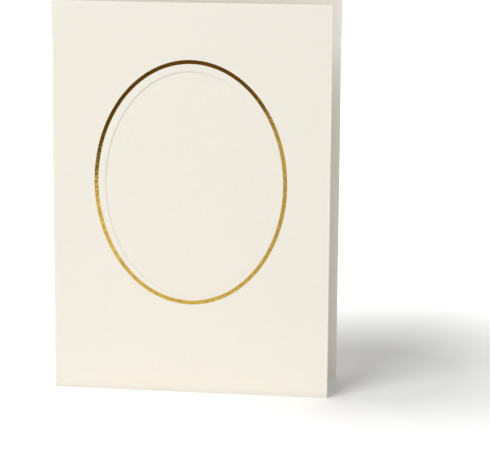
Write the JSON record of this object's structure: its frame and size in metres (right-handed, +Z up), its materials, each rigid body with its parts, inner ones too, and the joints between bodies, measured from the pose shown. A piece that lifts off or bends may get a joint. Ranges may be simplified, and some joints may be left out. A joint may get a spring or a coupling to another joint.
{
  "type": "greeting card",
  "caption": "Folded card that stands slightly open, with an oval window in its front leaf, a thin foil ring round the window and a flap folded in behind it.",
  "frame": {"origin": "middle of the footprint on the surface that the card stands on", "axes": "+Z up along the fold, +X from the spine to the opening edge, -Y is where the front leaf looks"},
  "size_m": [0.1088, 0.0312, 0.148],
  "materials": {
    "card": "matte",
    "gold_foil": "gloss"
  },
  "bodies": {
    "root": {"folded_card": "card", "foil_ring": "gold_foil"}
  },
  "joints": []
}
